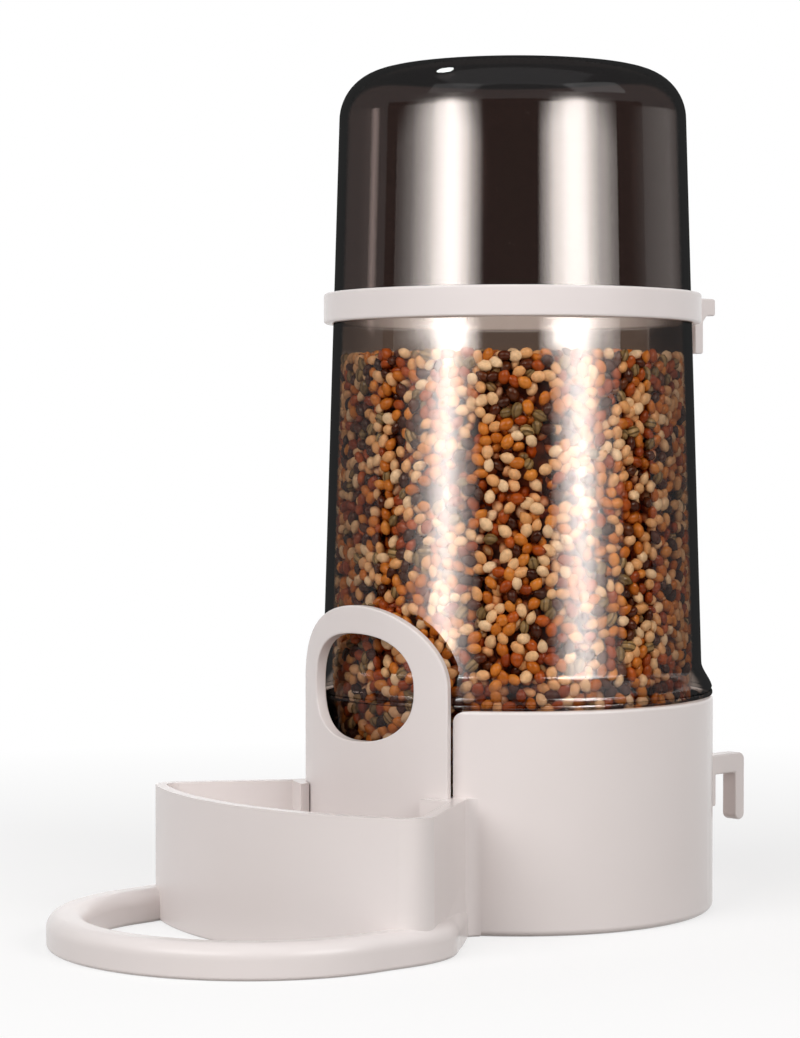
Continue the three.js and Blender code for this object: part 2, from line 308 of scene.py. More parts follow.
def soften(obj, width, segments=2, angle=40):
    """Rounds every edge that is sharper than an angle."""
    return apply(obj, "edge", "BEVEL", width=width, segments=segments, limit_method="ANGLE",
                 angle_limit=math.radians(angle), use_clamp_overlap=True)


def finish_shading(obj, angle=35):
    """Smooth faces with crisp edges, and normals led by the large faces."""
    make_active(obj)
    bpy.ops.object.shade_smooth_by_angle(angle=math.radians(angle))
    return apply(obj, "normals", "WEIGHTED_NORMAL", keep_sharp=True)


def quarter(radius, level, round_, up=True, steps=CORNER_STEPS):
    """Radius and height pairs of a quarter round from an upright wall inwards to a level face."""
    sign = 1 if up else -1
    pairs = []
    for i in range(steps + 1):
        angle = math.pi / 2 * i / steps
        pairs.append((radius - round_ + round_ * math.cos(angle),
                      level + sign * (round_ * math.sin(angle) - round_)))
    return pairs


def arc_points(centre, start, end, steps=CORNER_STEPS):
    """Points of an arc about a centre from one point to another, the short way round."""
    first = math.atan2(start[1] - centre[1], start[0] - centre[0])
    sweep = math.atan2(end[1] - centre[1], end[0] - centre[0]) - first
    sweep = (sweep + math.pi) % (2 * math.pi) - math.pi
    radius = math.dist(start, centre)
    return [(centre[0] + radius * math.cos(first + sweep * i / steps),
             centre[1] + radius * math.sin(first + sweep * i / steps)) for i in range(steps + 1)]


# Base: cup, trough, perch ring, gate guides and two cage hooks in one moulding

def beside_trough(distance, inset, side):
    """A point beside the trough's side wall: a distance from the axis, an inset from its outer face."""
    sine, cosine = math.sin(TROUGH_ANGLE), math.cos(TROUGH_ANGLE)
    return (side * (distance * sine - inset * cosine), -distance * cosine - inset * sine)


def scaled(point, length):
    """A plan point moved along its ray from the axis to a given distance."""
    share = length / math.hypot(*point)
    return (point[0] * share, point[1] * share)


def trough_side(side, inset, root):
    """Half of the trough's plan: fillet at the cup, straight wall, rounded front corner."""
    corner = TROUGH_CORNER - inset
    reach = TROUGH_RADIUS - inset - corner
    along = math.sqrt(reach ** 2 - (inset + corner) ** 2)
    corner_centre = beside_trough(along, inset + corner, side)
    front = arc_points(corner_centre, beside_trough(along, inset, side),
                       scaled(corner_centre, TROUGH_RADIUS - inset))
    if root == 0:
        return [beside_trough(CUP_INNER, inset, side)] + front
    root_along = math.sqrt((CUP_RADIUS + root) ** 2 - root ** 2)
    root_centre = beside_trough(root_along, -root, side)
    on_cup = scaled(root_centre, CUP_RADIUS)
    fillet = arc_points(root_centre, on_cup, beside_trough(root_along, 0, side))
    return [scaled(on_cup, CUP_RADIUS / 2)] + fillet + front


def trough_plan(inset, root):
    """Plan of the trough, inset from its outer faces."""
    left = trough_side(-1, inset, root)
    right = trough_side(1, inset, root)
    front = arc_points((0, 0), left[-1], right[-1], steps=4 * CORNER_STEPS)
    return left + front[1:-1] + right[::-1]


def trough_block(name, inset, root, foot_round, bottom, top):
    """The trough's plan as a solid with a rounded lower edge."""
    obj = upright(name, trough_plan(inset, root), bottom, top)
    return round_edges(obj, lambda a, b: max(a.z, b.z) < bottom + foot_round / 2, foot_round, FOOT_SEGMENTS)


def perch_proud(share):
    """How far the ring stands off the trough's side wall: nothing at the cup, most from there on."""
    return PERCH_SKIRT * math.sin(math.pi / 2 * min(1, share / PERCH_SKIRT_RUN))


def perch_ring():
    """A bar with a rounded top, swept along a bow that leaves the trough's side walls."""
    half = PERCH_WIDTH / 2
    half_span = TROUGH_RADIUS * math.sin(TROUGH_ANGLE) - PERCH_TUCK - half
    centre = -(TROUGH_RADIUS - PERCH_SETBACK)
    reach = centre - base_low.y - half
    sides = []
    for side in (-1, 1):
        start = CUP_MID_WALL
        run = TROUGH_RADIUS - start
        sides.append([beside_trough(start + run * share, half - perch_proud(share), side)
                      for share in (0, 0.25, 0.5, 0.75)])
    bow = []
    for i in range(BOW_STEPS + 1):
        angle = math.pi + math.pi * i / BOW_STEPS
        bow.append((half_span * math.cos(angle), centre + reach * math.sin(angle)))
    route = sides[0] + bow + sides[1][::-1]

    top = PERCH_HEIGHT - PERCH_ROUND
    section = []
    for x, y, radius, first in ((half - PERCH_ROUND, top, PERCH_ROUND, 0),
                                (PERCH_ROUND - half, top, PERCH_ROUND, 90),
                                (PERCH_FOOT_ROUND - half, PERCH_FOOT_ROUND, PERCH_FOOT_ROUND, 180),
                                (half - PERCH_FOOT_ROUND, PERCH_FOOT_ROUND, PERCH_FOOT_ROUND, 270)):
        for i in range(CORNER_STEPS + 1):
            angle = math.radians(first + 90 * i / CORNER_STEPS)
            section.append((x + radius * math.cos(angle), y + radius * math.sin(angle)))

    deselect()
    bpy.ops.curve.primitive_bezier_curve_add()
    path = bpy.context.object
    spline = path.data.splines[0]
    spline.bezier_points.add(len(route) - len(spline.bezier_points))
    for point, (x, y) in zip(spline.bezier_points, route):
        point.co = (x, y, 0)
        point.handle_left_type = point.handle_right_type = "AUTO"
    path.data.resolution_u = CORNER_STEPS
    path.data.twist_mode = "Z_UP"
    deselect()
    bpy.ops.curve.primitive_nurbs_path_add()
    rail = bpy.context.object
    rail.data.splines.clear()
    loop = rail.data.splines.new("POLY")
    loop.points.add(len(section) - 1)
    for point, (x, y) in zip(loop.points, section):
        point.co = (x, y, 0, 1)
    loop.use_cyclic_u = True
    path.data.bevel_mode = "OBJECT"
    path.data.bevel_object = rail
    path.data.use_fill_caps = True
    make_active(path)
    bpy.ops.object.convert(target="MESH")
    bpy.data.objects.remove(rail)
    return outward(bpy.context.object)


def perch_root(side):
    """Fillet that carries the ring up the trough's side wall, high at the cup and low in front."""
    near = CUP_MID_WALL
    run = ROOT_REACH * (TROUGH_RADIUS - near)
    stations = []
    for i in range(ROOT_STATIONS):
        share = i / (ROOT_STATIONS - 1)
        proud = perch_proud(ROOT_REACH * share) - ROOT_TUCK
        climb = ROOT_RISE - ROOT_FALL * share - ROOT_STEP
        outline = [(TROUGH_WALL / 2, ROOT_STEP / 2), (-proud, ROOT_STEP / 2)]
        for j in range(CORNER_STEPS + 1):
            angle = math.pi / 2 * j / CORNER_STEPS
            outline.append((-proud * (1 - math.sin(angle)), ROOT_STEP + climb * (1 - math.cos(angle))))
        outline.append((TROUGH_WALL / 2, ROOT_STEP + climb))
        away = near + run * share
        stations.append([(*beside_trough(away, inset, side), height) for inset, height in outline])
    return loft("perch_root", stations)


def cup_hook(side):
    """Arm, pad that bears on the cage and prong that drops behind a wire."""
    root = math.sqrt(CUP_INNER ** 2 - (CUP_HOOK_SPREAD + CUP_HOOK_WIDTH / 2) ** 2)
    face = math.sqrt(CUP_RADIUS ** 2 - CUP_HOOK_SPREAD ** 2) + CUP_HOOK_PAD
    prong = face + CAGE_WIRE_GAP
    end = prong + CUP_HOOK_PRONG
    arm = CUP_HOOK_TOP - CUP_HOOK_ARM
    tip = CUP_HOOK_TOP - CUP_HOOK_DROP
    round_ = CUP_HOOK_PRONG / 2
    outline = [(root, arm - CUP_HOOK_PAD_DROP), (face, arm - CUP_HOOK_PAD_DROP), (face, arm), (prong, arm)]
    outline += arc_points((prong + round_, tip + round_), (prong, tip + round_), (prong + round_, tip))
    outline += arc_points((prong + round_, tip + round_), (prong + round_, tip), (end, tip + round_))[1:]
    outline += arc_points((end - round_, CUP_HOOK_TOP - round_), (end, CUP_HOOK_TOP - round_),
                          (end - round_, CUP_HOOK_TOP))
    outline += [(root, CUP_HOOK_TOP)]
    edge = side * CUP_HOOK_SPREAD - CUP_HOOK_WIDTH / 2
    hook = prism("hook", [(edge, y, z) for y, z in outline], (CUP_HOOK_WIDTH, 0, 0))
    soften(hook, HOOK_EDGE)
    return combine(hook, drum("core", CUP_MID_WALL, 0, CUP_HEIGHT), "DIFFERENCE")


def slot_corner(side):
    """Relief at the top of the gate slot, where the cup's rim turns down beside the gate."""
    inner = side * (SLOT_HALF_WIDTH - OVERCUT)
    edge = side * SLOT_HALF_WIDTH
    outer = side * (SLOT_HALF_WIDTH + SLOT_CORNER)
    level = CUP_HEIGHT - SLOT_CORNER
    outline = [(inner, CUP_HEIGHT + OVERCUT), (inner, level)]
    outline += arc_points((outer, level), (edge, level), (outer, CUP_HEIGHT))
    outline += [(outer, CUP_HEIGHT + OVERCUT)]
    return prism("corner", [(x, -LIP_OUTER, z) for x, z in outline], (0, LIP_OUTER, 0))


def make_base():
    """The whole moulding, joined and cut as one solid."""
    top = CUP_HEIGHT + OVERCUT
    base = turned("base_moulding", [
        *quarter(CUP_RADIUS, 0, CUP_FOOT_ROUND, up=False)[::-1],
        *quarter(CUP_RADIUS, CUP_HEIGHT, CUP_RIM_ROUND),
        (CUP_INNER, CUP_HEIGHT),
        *quarter(CUP_INNER, FLOOR_THICKNESS, CUP_INSIDE_ROUND, up=False),
    ])
    trough = trough_block("trough", 0, TROUGH_ROOT, TROUGH_FOOT_ROUND, 0, TROUGH_HEIGHT)
    trough = combine(trough, drum("core", CUP_MID_WALL, -OVERCUT, top), "DIFFERENCE")
    combine(base, trough, "UNION")
    combine(base, perch_ring(), "UNION")
    for side in (-1, 1):
        combine(base, perch_root(side), "UNION")
        combine(base, cup_hook(side), "UNION")
    bowl = trough_block("bowl", TROUGH_WALL, 0, TROUGH_FOOT_ROUND - TROUGH_WALL, FLOOR_THICKNESS, top)
    combine(bowl, drum("lip", LIP_OUTER, 0, top + OVERCUT), "DIFFERENCE")
    combine(base, bowl, "DIFFERENCE")
    window = block("window", WINDOW_HALF_WIDTH, -LIP_OUTER - OVERCUT, 0, FLOOR_THICKNESS, top)
    combine(base, window, "DIFFERENCE")
    groove = drum("groove", GROOVE_OUTER, FLOOR_THICKNESS, top)
    combine(groove, drum("groove_core", GATE_INNER - SLOT_GAP, 0, top + OVERCUT), "DIFFERENCE")
    combine(groove, block("groove_end", SLOT_HALF_WIDTH, -BEYOND, 0, 0, top), "INTERSECT")
    combine(base, groove, "DIFFERENCE")
    combine(base, block("slot", SLOT_HALF_WIDTH, -BEYOND, 0, TROUGH_HEIGHT, top), "DIFFERENCE")
    for side in (-1, 1):
        combine(base, slot_corner(side), "DIFFERENCE")
    outward(base)

    def rim(a, b):
        level = max(abs(a.z - TROUGH_HEIGHT), abs(b.z - TROUGH_HEIGHT)) < CLOSE_BY
        on_cup = max(a.xy.length, b.xy.length) < CUP_RADIUS + 10 * CLOSE_BY
        return level and not on_cup

    round_edges(base, rim, TROUGH_EDGE)
    return finish_shading(base)


# Gate: a curved slide with a finger hole

def make_gate():
    """A ring round the finger hole, drawn out to the arch and curved round the cup."""
    hole_height = gate_high.z - FINGER_HOLE_MARGIN - FINGER_HOLE_HALF_HEIGHT
    spring = gate_high.z - GATE_ARCH_RISE
    corner = math.atan2(gate_low.z - hole_height, GATE_HALF_WIDTH)

    def outline(angle):
        """Where a ray from the hole's middle leaves the gate."""
        x, z = math.cos(angle), math.sin(angle)
        reach = [GATE_HALF_WIDTH / abs(x)] if abs(x) > TINY else []
        if z < 0:
            reach.append((gate_low.z - hole_height) / z)
        found = min(reach) if reach else BEYOND
        if z > 0 and hole_height + found * z > spring or not reach:
            drop = hole_height - spring
            a = (x / GATE_HALF_WIDTH) ** 2 + (z / GATE_ARCH_RISE) ** 2
            b = 2 * drop * z / GATE_ARCH_RISE ** 2
            c = (drop / GATE_ARCH_RISE) ** 2 - 1
            found = (-b + math.sqrt(b * b - 4 * a * c)) / (2 * a)
        return found * x, hole_height + found * z

    angles = [2 * math.pi * i / GATE_SPOKES for i in range(GATE_SPOKES)]
    for wanted in (corner % (2 * math.pi), (math.pi - corner) % (2 * math.pi)):
        nearest = min(range(GATE_SPOKES), key=lambda i: abs(angles[i] - wanted))
        angles[nearest] = wanted

    deselect()
    bpy.ops.mesh.primitive_circle_add(vertices=GATE_SPOKES, radius=1)
    gate = bpy.context.object
    gate.name = "gate_slide_plate"
    for vertex, angle in zip(gate.data.vertices, angles):
        across = math.copysign(abs(math.cos(angle)) ** FINGER_HOLE_FULLNESS, math.cos(angle))
        upwards = math.copysign(abs(math.sin(angle)) ** FINGER_HOLE_FULLNESS, math.sin(angle))
        vertex.co = (FINGER_HOLE_HALF_WIDTH * across, 0, hole_height + FINGER_HOLE_HALF_HEIGHT * upwards)
    edit_all()
    bpy.ops.mesh.extrude_edges_move()
    bpy.ops.object.mode_set(mode="OBJECT")
    for vertex in gate.data.vertices:
        if vertex.select:
            x, z = outline(angles[vertex.index % GATE_SPOKES])
            vertex.co = (x, 0, z)
    pick_edges(gate, lambda first, last: (first.index - last.index) % GATE_SPOKES == 0)
    bpy.ops.mesh.subdivide(number_cuts=GATE_RINGS)
    bpy.ops.object.mode_set(mode="OBJECT")
    for vertex in gate.data.vertices:
        vertex.co.y = -math.sqrt(GATE_INNER ** 2 - vertex.co.x ** 2)
    make_active(gate)
    edit_all()
    bpy.ops.mesh.normals_make_consistent(inside=False)
    bpy.ops.object.mode_set(mode="OBJECT")
    if gate.data.polygons[0].normal.y > 0:
        edit_all()
        bpy.ops.mesh.flip_normals()
        bpy.ops.object.mode_set(mode="OBJECT")
    apply(gate, "plate", "SOLIDIFY", thickness=GATE_THICKNESS, offset=1)
    soften(gate, GATE_EDGE, segments=3, angle=50)
    return finish_shading(gate)


# Bottle: one turned shell with a neck, a flared foot, a tapered wall and a round shoulder

BOTTLE_TOP_RADIUS = BOTTLE_FOOT - BOTTLE_TAPER
BOTTLE_FOOT_LEVEL = BOTTLE_SEAT + FLANGE_EDGE + FLARE_HEIGHT
NECK_INNER = NECK_RADIUS - BOTTLE_WALL


def bottle_radius(height):
    """Radius of the bottle's tapered outer wall at a height."""
    share = (height - BOTTLE_FOOT_LEVEL) / (BOTTLE_TOP - SHOULDER_ROUND - BOTTLE_FOOT_LEVEL)
    return BOTTLE_FOOT - BOTTLE_TAPER * share


def make_bottle():
    """Outer face down from the middle of the top to the mouth, then the inner face back up."""
    lip = BOTTLE_WALL / 3
    flange = FLANGE_EDGE / 3
    flare = []
    for i in range(CORNER_STEPS):
        share = i / CORNER_STEPS
        ease = share * share * (3 - 2 * share)
        flare.append((BOTTLE_FOOT + FLARE_INSET * ease, BOTTLE_FOOT_LEVEL - FLARE_HEIGHT * share))
    mouth = quarter(NECK_RADIUS, bottle_low.z, lip, up=False)
    lip_sum = NECK_RADIUS + NECK_INNER
    bottle = turned("bottle_shell", [
        (BOTTLE_TOP_RADIUS / 2, BOTTLE_TOP),
        *quarter(BOTTLE_TOP_RADIUS, BOTTLE_TOP, SHOULDER_ROUND, steps=2 * CORNER_STEPS)[::-1],
        *flare,
        *quarter(FLANGE_RADIUS, BOTTLE_SEAT + FLANGE_EDGE, flange, steps=3)[::-1],
        *quarter(FLANGE_RADIUS, BOTTLE_SEAT, flange, up=False, steps=3),
        (NECK_RADIUS, BOTTLE_SEAT),
        *mouth,
        *[(lip_sum - radius, height) for radius, height in mouth[::-1]],
        (NECK_INNER, BOTTLE_SEAT + FLANGE_EDGE),
        (BOTTLE_FOOT - BOTTLE_WALL, BOTTLE_FOOT_LEVEL),
        *quarter(BOTTLE_TOP_RADIUS - BOTTLE_WALL, BOTTLE_TOP - BOTTLE_WALL, SHOULDER_ROUND - BOTTLE_WALL,
                 steps=2 * CORNER_STEPS),
        (BOTTLE_TOP_RADIUS / 2, BOTTLE_TOP - BOTTLE_WALL),
    ])
    finish_shading(bottle, angle=50)
    middle = Vector((0, 0, CUP_HEIGHT))
    outer = [float((face.center - middle).dot(face.normal) > 0) for face in bottle.data.polygons]
    bottle.data.attributes.new("outer", "FLOAT", "FACE").data.foreach_set("value", outer)
    return bottle


# Collar: a band that grips the bottle, with a hook behind

def make_collar():
    """A turned band joined to an arm with a hanging plate."""
    low_inner = bottle_radius(COLLAR_SEAT) + REST_GAP
    high_inner = bottle_radius(COLLAR_SEAT + COLLAR_BAND) + REST_GAP
    outer = low_inner + COLLAR_WALL
    top = COLLAR_SEAT + COLLAR_BAND
    collar = turned("collar_band", [
        (low_inner, COLLAR_SEAT),
        *quarter(outer, COLLAR_SEAT, COLLAR_ROUND, up=False, steps=4)[::-1],
        *quarter(outer, top, COLLAR_ROUND, steps=4),
        (high_inner, top),
        (low_inner, COLLAR_SEAT),
    ])
    arm_top = collar_high.z
    arm = arm_top - COLLAR_HOOK_ARM
    plate_back = collar_high.y - COLLAR_PLATE_INSET
    plate_front = plate_back - COLLAR_PLATE
    web = COLLAR_PLATE
    outline = [(0, arm_top), (0, arm), (plate_front, arm), (plate_front, collar_low.z),
               (plate_back, collar_low.z), (plate_back, arm - web / 2), (plate_back + web / 2, arm),
               (collar_high.y, arm), (collar_high.y, arm_top)]
    edge = COLLAR_HOOK_WIDTH / 2
    hook = prism("collar_hook", [(-edge, y, z) for y, z in outline], (COLLAR_HOOK_WIDTH, 0, 0))
    soften(hook, HOOK_EDGE)
    bore = drum("bore", (low_inner + outer) / 2, COLLAR_SEAT - OVERCUT, arm_top + OVERCUT)
    combine(hook, bore, "DIFFERENCE")
    combine(collar, hook, "UNION")
    outward(collar)
    return finish_shading(collar)


# Seed: loose grains against the walls and on top, over a core painted dark as shade

GRAIN_LENGTH = 2.75 * MM
GRAIN_WIDTH = 2.25 * MM
GRAIN_THICKNESS = 1.8 * MM
GRAIN_TIP = 0.14
GRAIN_SEGMENTS = 8
GRAIN_RINGS = 5
GRAIN_SPACING = 2.0 * MM
GRAIN_DEPTH = 4.4 * MM
WALL_CLEARANCE = 0.06 * MM
HEAP_ROUGHNESS = 2.4 * MM
SEED_TOP = column_high.z
SETTLE_ROUNDS = 26
SETTLE_PUSH = 0.45
TRIES_PER_GRAIN = 4
COVER_DEPTH = 0.8 * GRAIN_DEPTH
WALL_REACH = 0.75 * GRAIN_LENGTH
TOP_REACH = 0.7 * GRAIN_LENGTH
WALL_TILT = 0.33
TOP_TILT = 0.4
SMALLEST_GRAIN = 0.88
LARGEST_GRAIN = 1.07
rng = np.random.default_rng(7)


def column_wall(height):
    """Inner radius of the bottle and its neck at a height, for one height or an array."""
    flare = (height - BOTTLE_SEAT - FLANGE_EDGE) / FLARE_HEIGHT
    foot_inner = BOTTLE_FOOT - BOTTLE_WALL
    lower = NECK_INNER + (foot_inner - NECK_INNER) * np.clip(flare, 0, 1)
    return np.where(height > BOTTLE_FOOT_LEVEL, bottle_radius(height) - BOTTLE_WALL, lower)


def bed_wall(height):
    """Radius of the seed in the cup."""
    return bed_high.x + 0 * height


def grain_shape():
    """One grain: a flattened ball with a blunt tip. Returns its corners and faces."""
    deselect()
    bpy.ops.mesh.primitive_uv_sphere_add(segments=GRAIN_SEGMENTS, ring_count=GRAIN_RINGS, radius=0.5)
    grain = bpy.context.object
    edit_all()
    bpy.ops.transform.resize(value=(GRAIN_WIDTH, GRAIN_THICKNESS, GRAIN_LENGTH))
    bpy.ops.mesh.select_all(action="DESELECT")
    bpy.ops.object.mode_set(mode="OBJECT")
    for vertex in grain.data.vertices:
        vertex.select = vertex.co.z > 0.49 * GRAIN_LENGTH
    bpy.ops.object.mode_set(mode="EDIT")
    bpy.ops.transform.translate(value=(0, 0, GRAIN_TIP * GRAIN_LENGTH))
    bpy.ops.object.mode_set(mode="OBJECT")
    corners = np.array([vertex.co for vertex in grain.data.vertices])
    faces = [list(face.vertices) for face in grain.data.polygons]
    bpy.data.objects.remove(grain)
    return corners, faces


def settle(points, confine):
    """Pushes crowded grains apart, a little at a time, and keeps them in their space."""
    for _ in range(SETTLE_ROUNDS):
        tree = KDTree(len(points))
        for i, point in enumerate(points):
            tree.insert(point, i)
        tree.balance()
        moves = np.zeros_like(points)
        for i, point in enumerate(points):
            for other, j, distance in tree.find_range(point, GRAIN_SPACING):
                if j > i and distance > 0:
                    push = (point - np.array(other)) * (SETTLE_PUSH * (GRAIN_SPACING / distance - 1))
                    moves[i] += push
                    moves[j] -= push
        points = confine(points + moves)
    return points


def pour(count, low, high, wall):
    """Grain centres in the outer layers of a column: at its wall and on its top and bottom."""
    half = GRAIN_THICKNESS / 2
    depth = GRAIN_DEPTH - half
    ceiling = high - half - HEAP_ROUGHNESS * rng.random(count)

    def confine(points):
        heights = np.clip(points[:, 2], low + half, ceiling)
        angles = np.arctan2(points[:, 0], -points[:, 1])
        radii = np.hypot(points[:, 0], points[:, 1])
        limit = wall(heights) - half
        hidden = np.minimum(limit - radii, np.minimum(high - heights, heights - low) - half)
        buried = hidden > depth
        radii = np.where(buried & (limit - radii < high - heights), limit - depth, radii)
        radii = np.clip(radii, 0, limit)
        return np.stack([radii * np.sin(angles), -radii * np.cos(angles), heights], axis=1)

    found = np.zeros((0, 3))
    while len(found) < count:
        tries = TRIES_PER_GRAIN * count
        heights = low + (high - low) * rng.random(tries)
        angles = math.pi * (2 * rng.random(tries) - 1)
        radii = wall(heights) * np.sqrt(rng.random(tries))
        shell = wall(heights) - radii < GRAIN_DEPTH
        cover = (high - heights < COVER_DEPTH) | (heights - low < half)
        keep = shell | cover
        points = np.stack([radii * np.sin(angles), -radii * np.cos(angles), heights], axis=1)
        found = np.concatenate([found, points[keep]])
    return settle(confine(found[:count]), confine)


def turn_grains(points, low, high, wall):
    """Axes of each grain: flat against the wall or the top where it touches them, else at random."""
    count = len(points)
    radii = np.hypot(points[:, 0], points[:, 1])
    outwards = points * [1, 1, 0] / np.maximum(radii, TINY)[:, None]
    at_wall = wall(points[:, 2]) - radii < WALL_REACH
    on_top = (high - points[:, 2] < TOP_REACH) & ~at_wall
    loose = rng.normal(size=(count, 3))
    thin = np.where(at_wall[:, None], outwards + WALL_TILT * loose, loose)
    thin = np.where(on_top[:, None], [0, 0, 1] + TOP_TILT * loose, thin)
    thin /= np.linalg.norm(thin, axis=1)[:, None]
    across = np.cross(thin, rng.normal(size=(count, 3)))
    across /= np.linalg.norm(across, axis=1)[:, None]
    return np.stack([across, thin, np.cross(across, thin)], axis=1)


def grains(name, shape, points, axes, wall, low, high, material):
    """One piece of many copied grains, each with a tone, its own length and side, and its depth in mm, which
    drives the painted shade between grains.
    """
    corners, faces = shape
    count, size = len(points), len(corners)
    grow = rng.uniform(SMALLEST_GRAIN, LARGEST_GRAIN, count)
    spots = np.einsum("vk,nkc->nvc", corners, axes) * grow[:, None, None] + points[:, None, :]
    spots = spots.reshape(-1, 3)
    limit = wall(np.clip(spots[:, 2], low, high)) - WALL_CLEARANCE
    radii = np.hypot(spots[:, 0], spots[:, 1])
    spots[:, :2] *= np.minimum(1, limit / np.maximum(radii, TINY))[:, None]
    spots[:, 2] = np.clip(spots[:, 2], low, high)
    made = [[i * size + corner for corner in face] for i in range(count) for face in faces]
    mesh = bpy.data.meshes.new(name)
    mesh.from_pydata(spots.tolist(), [], made)
    # How deep each corner lies under the wall or the top, in mm, for the painted shade between grains
    painted_shade_depth = np.minimum(limit - np.minimum(radii, limit), high - spots[:, 2])
    for attribute, values in (("tone", np.repeat(rng.random(count), size)),
                              ("along", np.tile(corners[:, 2] / GRAIN_LENGTH, count)),
                              ("side", np.tile(corners[:, 0] / GRAIN_WIDTH, count)),
                              ("depth", painted_shade_depth / MM)):
        mesh.attributes.new(attribute, "FLOAT", "POINT").data.foreach_set("value", values)
    obj = bpy.data.objects.new(name, mesh)
    bpy.context.scene.collection.objects.link(obj)
    make_active(obj)
    bpy.ops.object.shade_smooth()
    mesh.materials.append(material)
    return obj


# Materials

def linear(text):
    """A colour written as sRGB hex, as linear red, green, blue and alpha."""
    values = [int(text[i:i + 2], 16) / 255 for i in (1, 3, 5)]
    return (*[v / 12.92 if v <= 0.04045 else ((v + 0.055) / 1.055) ** 2.4 for v in values], 1)


def add(tree, kind, values=None, links=None, stops=(), **settings):
    """Adds a shader node with its settings, values and links, and the stops of a colour ramp."""
    node = tree.nodes.new("ShaderNode" + kind)
    for key, value in settings.items():
        setattr(node, key, value)
    for key, value in (values or {}).items():
        node.inputs[key].default_value = value
    for key, socket in (links or {}).items():
        tree.links.new(socket, node.inputs[key])
    if stops:
        elements = node.color_ramp.elements
        while len(elements) < len(stops):
            elements.new(0.5)
        for element, (place, shade) in zip(elements, stops):
            element.position = place
            element.color = linear(shade) if isinstance(shade, str) else (shade, shade, shade, 1)
    return node


def new_material(name):
    """An empty node material and its output."""
    material = bpy.data.materials.new(name)
    material.use_nodes = True
    tree = material.node_tree
    tree.nodes.clear()
    return material, tree, add(tree, "OutputMaterial")


def per_mm(size):
    """Texture scale for a pattern of a size in millimetres."""
    return 1 / (size * MM)


def white_abs(name, pale, dull):
    """Injection moulded ABS: warm white, a satin gloss that wavers a little, and a few small scuffs."""
    material, tree, output = new_material(name)
    place = add(tree, "TexCoord").outputs["Object"]
    cloud = add(tree, "TexNoise", {"Scale": per_mm(40), "Detail": 2}, {"Vector": place}).outputs["Fac"]
    tint = add(tree, "ValToRGB", links={"Fac": cloud}, stops=[(0.2, pale), (0.8, dull)]).outputs["Color"]
    slant = add(tree, "Mapping", {"Rotation": (0.5, 0.3, 0.7), "Scale": (1, 1, 0.3)}, {"Vector": place})
    speck = add(tree, "TexNoise", {"Scale": per_mm(1.6), "Detail": 1}, {"Vector": slant.outputs["Vector"]})
    scuff = add(tree, "ValToRGB", links={"Fac": speck.outputs["Fac"]}, stops=[(0.83, 0.0), (0.88, 0.35)])
    dirty = add(tree, "Mix", {"B": linear("#a89c95")}, {"Factor": scuff.outputs["Color"], "A": tint},
                data_type="RGBA")
    wipe = add(tree, "TexNoise", {"Scale": per_mm(14), "Detail": 3}, {"Vector": place})
    gloss = add(tree, "MapRange", {"To Min": 0.18, "To Max": 0.27}, {"Value": wipe.outputs["Fac"]})
    shader = add(tree, "BsdfPrincipled", {"IOR": 1.53, "Specular IOR Level": 0.25},
                 {"Base Color": dirty.outputs[2], "Roughness": gloss.outputs["Result"]})
    tree.links.new(shader.outputs["BSDF"], output.inputs["Surface"])
    return material


# Places on the bottle where its tint changes, and shares of light that it mirrors; the band at the back above
# the seed is painted shade
SMOKE_START = COLLAR_SEAT + 3.4 * MM
SMOKE_FULL = COLLAR_SEAT + COLLAR_BAND
SEED_LINE_LOW = SEED_TOP - 0.8 * MM
SEED_LINE_HIGH = SEED_TOP + 0.6 * MM
SHADE_BAND_EDGE = 6 * MM
SHADE_BAND_FADE = 0.4 * MM
MIRROR_FRONT = 0.02
MIRROR_EDGE = 0.03
MIRROR_INSIDE = 0.002


